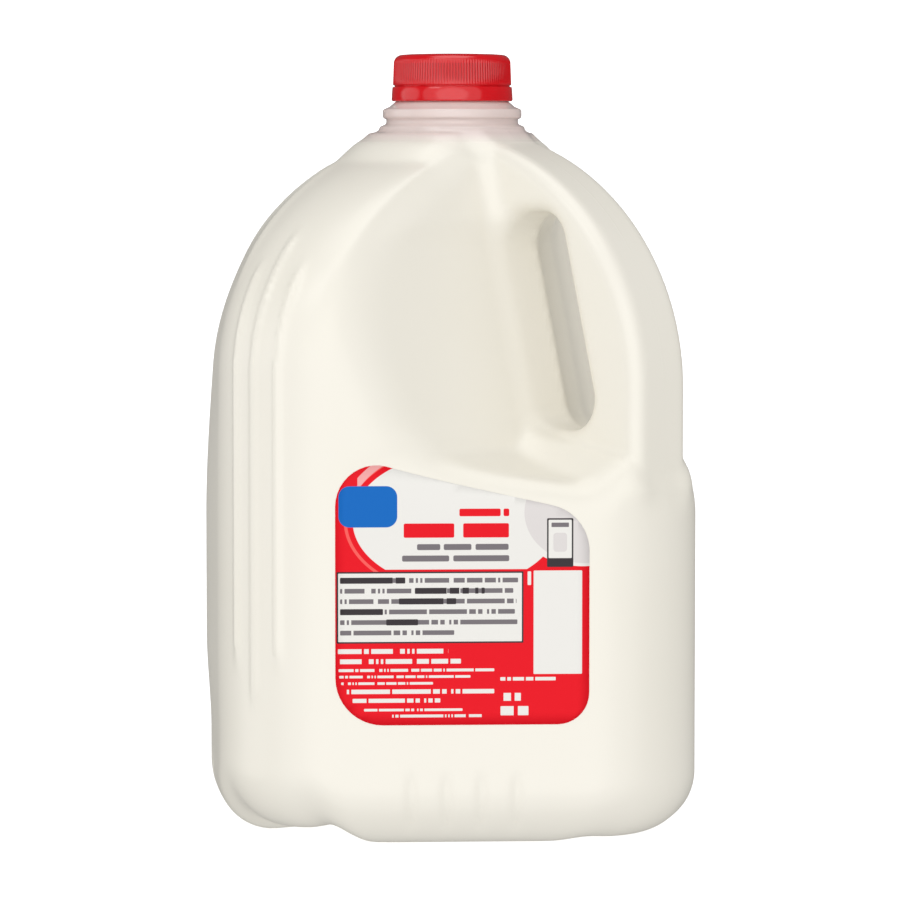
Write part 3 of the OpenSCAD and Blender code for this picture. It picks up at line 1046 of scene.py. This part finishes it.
# %% [markdown]
# ## Light, floor and camera
#
# A product shot in a light tent. The soft light comes from all round, a little more of it
# from the viewer's side. What shines on the plastic is a few bright panels, ahead, at the
# left and overhead, with dark round them: that makes a white thing readable against white.
# The floor and the wall behind are there for the camera and throw no light on the jug.

# %% Floor and wall
view_turn = math.radians(42.1)
toward_view = np.array([math.sin(view_turn), -math.cos(view_turn), 0])
to_right = np.array([math.cos(view_turn), math.sin(view_turn), 0])
overhead = np.array([0, 0, 1.0])
wall_top, wall_far, bend_r = 6000, 3000, 1500


def build_stage():
    """A floor that bends up into a wall all round, as one turned sheet."""
    outline = arc((wall_far - bend_r, bend_r), bend_r, 270, 360, 12) + [(wall_far, wall_top)]
    around = 48
    points = [
        (r * math.cos(2 * math.pi * i / around), r * math.sin(2 * math.pi * i / around), z)
        for r, z in outline for i in range(around)]
    points.append((0, 0, 0))
    faces = [(len(points) - 1, i, (i + 1) % around) for i in range(around)]
    for row in range(len(outline) - 1):
        for i in range(around):
            a, b = row * around + i, row * around + (i + 1) % around
            faces.append((a, a + around, b + around, b))
    return new_piece("stage", points, faces)


stage = build_stage()
ground = Finish("white_stage", Roughness=0.9)
ground.shader.inputs["Base Color"].default_value = (0.8, 0.8, 0.8, 1)
ground.shader.inputs["Specular IOR Level"].default_value = 0.0
ground.shader.inputs["Emission Color"].default_value = (1, 1, 1, 1)
ground.shader.inputs["Emission Strength"].default_value = 0.62
ground.wear(stage)
stage.visible_diffuse = False
stage.visible_glossy = False
stage.visible_shadow = False
print("stage has", len(stage.data.polygons), "faces")

# %% Surround
scene = bpy.context.scene
world = bpy.data.worlds.new("studio")
world.use_nodes = True
sky = world.node_tree
heading = sky.nodes.new("ShaderNodeTexCoord").outputs["Generated"]


def glow(way, edge, levels):
    """Light from round a direction: the first level outside the edge, the second inside."""
    ahead = sky.nodes.new("ShaderNodeVectorMath")
    ahead.operation = "DOT_PRODUCT"
    ahead.inputs[1].default_value = way / np.linalg.norm(way)
    sky.links.new(heading, ahead.inputs[0])
    level = sky.nodes.new("ShaderNodeMapRange")
    level.interpolation_type = "SMOOTHSTEP"
    sky.links.new(ahead.outputs["Value"], level.inputs["Value"])
    for name, value in zip(("From Min", "From Max", "To Min", "To Max"), edge + levels):
        level.inputs[name].default_value = value
    return level.outputs[0]


def blend_light(operation, a, b):
    node = sky.nodes.new("ShaderNodeMath")
    node.operation = operation
    sky.links.new(a, node.inputs[0])
    sky.links.new(b, node.inputs[1])
    return node.outputs[0]


tent = glow(toward_view + 0.15 * overhead, (0.2, 0.97), (0.73, 1.16))
wide_panel = glow(toward_view + 0.1 * overhead, (0.50, 0.57), (0.1, 1.1))
near_panel = glow(toward_view + 0.1 * overhead, (0.82, 0.90), (0.0, 1.3))
left_panel = glow(0.1 * overhead - to_right, (0.88, 0.95), (0.0, 1.3))
top_panel = glow(overhead + 0.15 * toward_view, (0.86, 0.95), (0.0, 2.6))
shine = wide_panel
for panel in (near_panel, left_panel, top_panel):
    shine = blend_light("ADD", shine, panel)
mirror = sky.nodes.new("ShaderNodeMix")
sky.links.new(sky.nodes.new("ShaderNodeLightPath").outputs["Is Glossy Ray"], mirror.inputs[0])
sky.links.new(tent, mirror.inputs[2])
sky.links.new(shine, mirror.inputs[3])
sky.links.new(mirror.outputs[0], sky.nodes["Background"].inputs["Strength"])
sky.nodes["Background"].inputs["Color"].default_value = (1, 1, 1, 1)
scene.world = world
scene.view_settings.view_transform = "Standard"
print("surround has", len(sky.nodes), "nodes")

# %% Lights
def soft_light(name, place, aim, size, power):
    """A rectangular soft light, in millimetres and watts."""
    light = bpy.data.lights.new(name, "AREA")
    light.shape = "RECTANGLE"
    light.size, light.size_y = size[0] * MM, size[1] * MM
    light.energy = power
    lamp = bpy.data.objects.new(name, light)
    lamp.visible_camera = False
    scene.collection.objects.link(lamp)
    lamp.location = Vector(place) * MM
    lamp.rotation_euler = (Vector(aim) - Vector(place)).to_track_quat("-Z", "Y").to_euler()


lamp_place = toward_view * 900 - to_right * 700 + overhead * 1300
soft_light("left_top_light", lamp_place, (0, 0, 150), (500, 500), 2.2)
print("one soft light at", lamp_place.round())

# %% Camera
camera_far = 1500.0
camera_z = 225.0
focal = 182.0
aim_drop = 0.069
axis_shift = -0.7
camera = bpy.data.cameras.new("view")
camera.lens = focal
camera.sensor_width = 36
viewer = bpy.data.objects.new("view", camera)
scene.collection.objects.link(viewer)
eye = toward_view * camera_far + overhead * camera_z
target = to_right * axis_shift + overhead * (camera_z - camera_far * aim_drop)
viewer.location = Vector(eye) * MM
viewer.rotation_euler = (Vector(target) - Vector(eye)).to_track_quat("-Z", "Y").to_euler()
scene.camera = viewer
print("camera looks from", eye.round())

# %% The imported model's box
low, high = cad_box
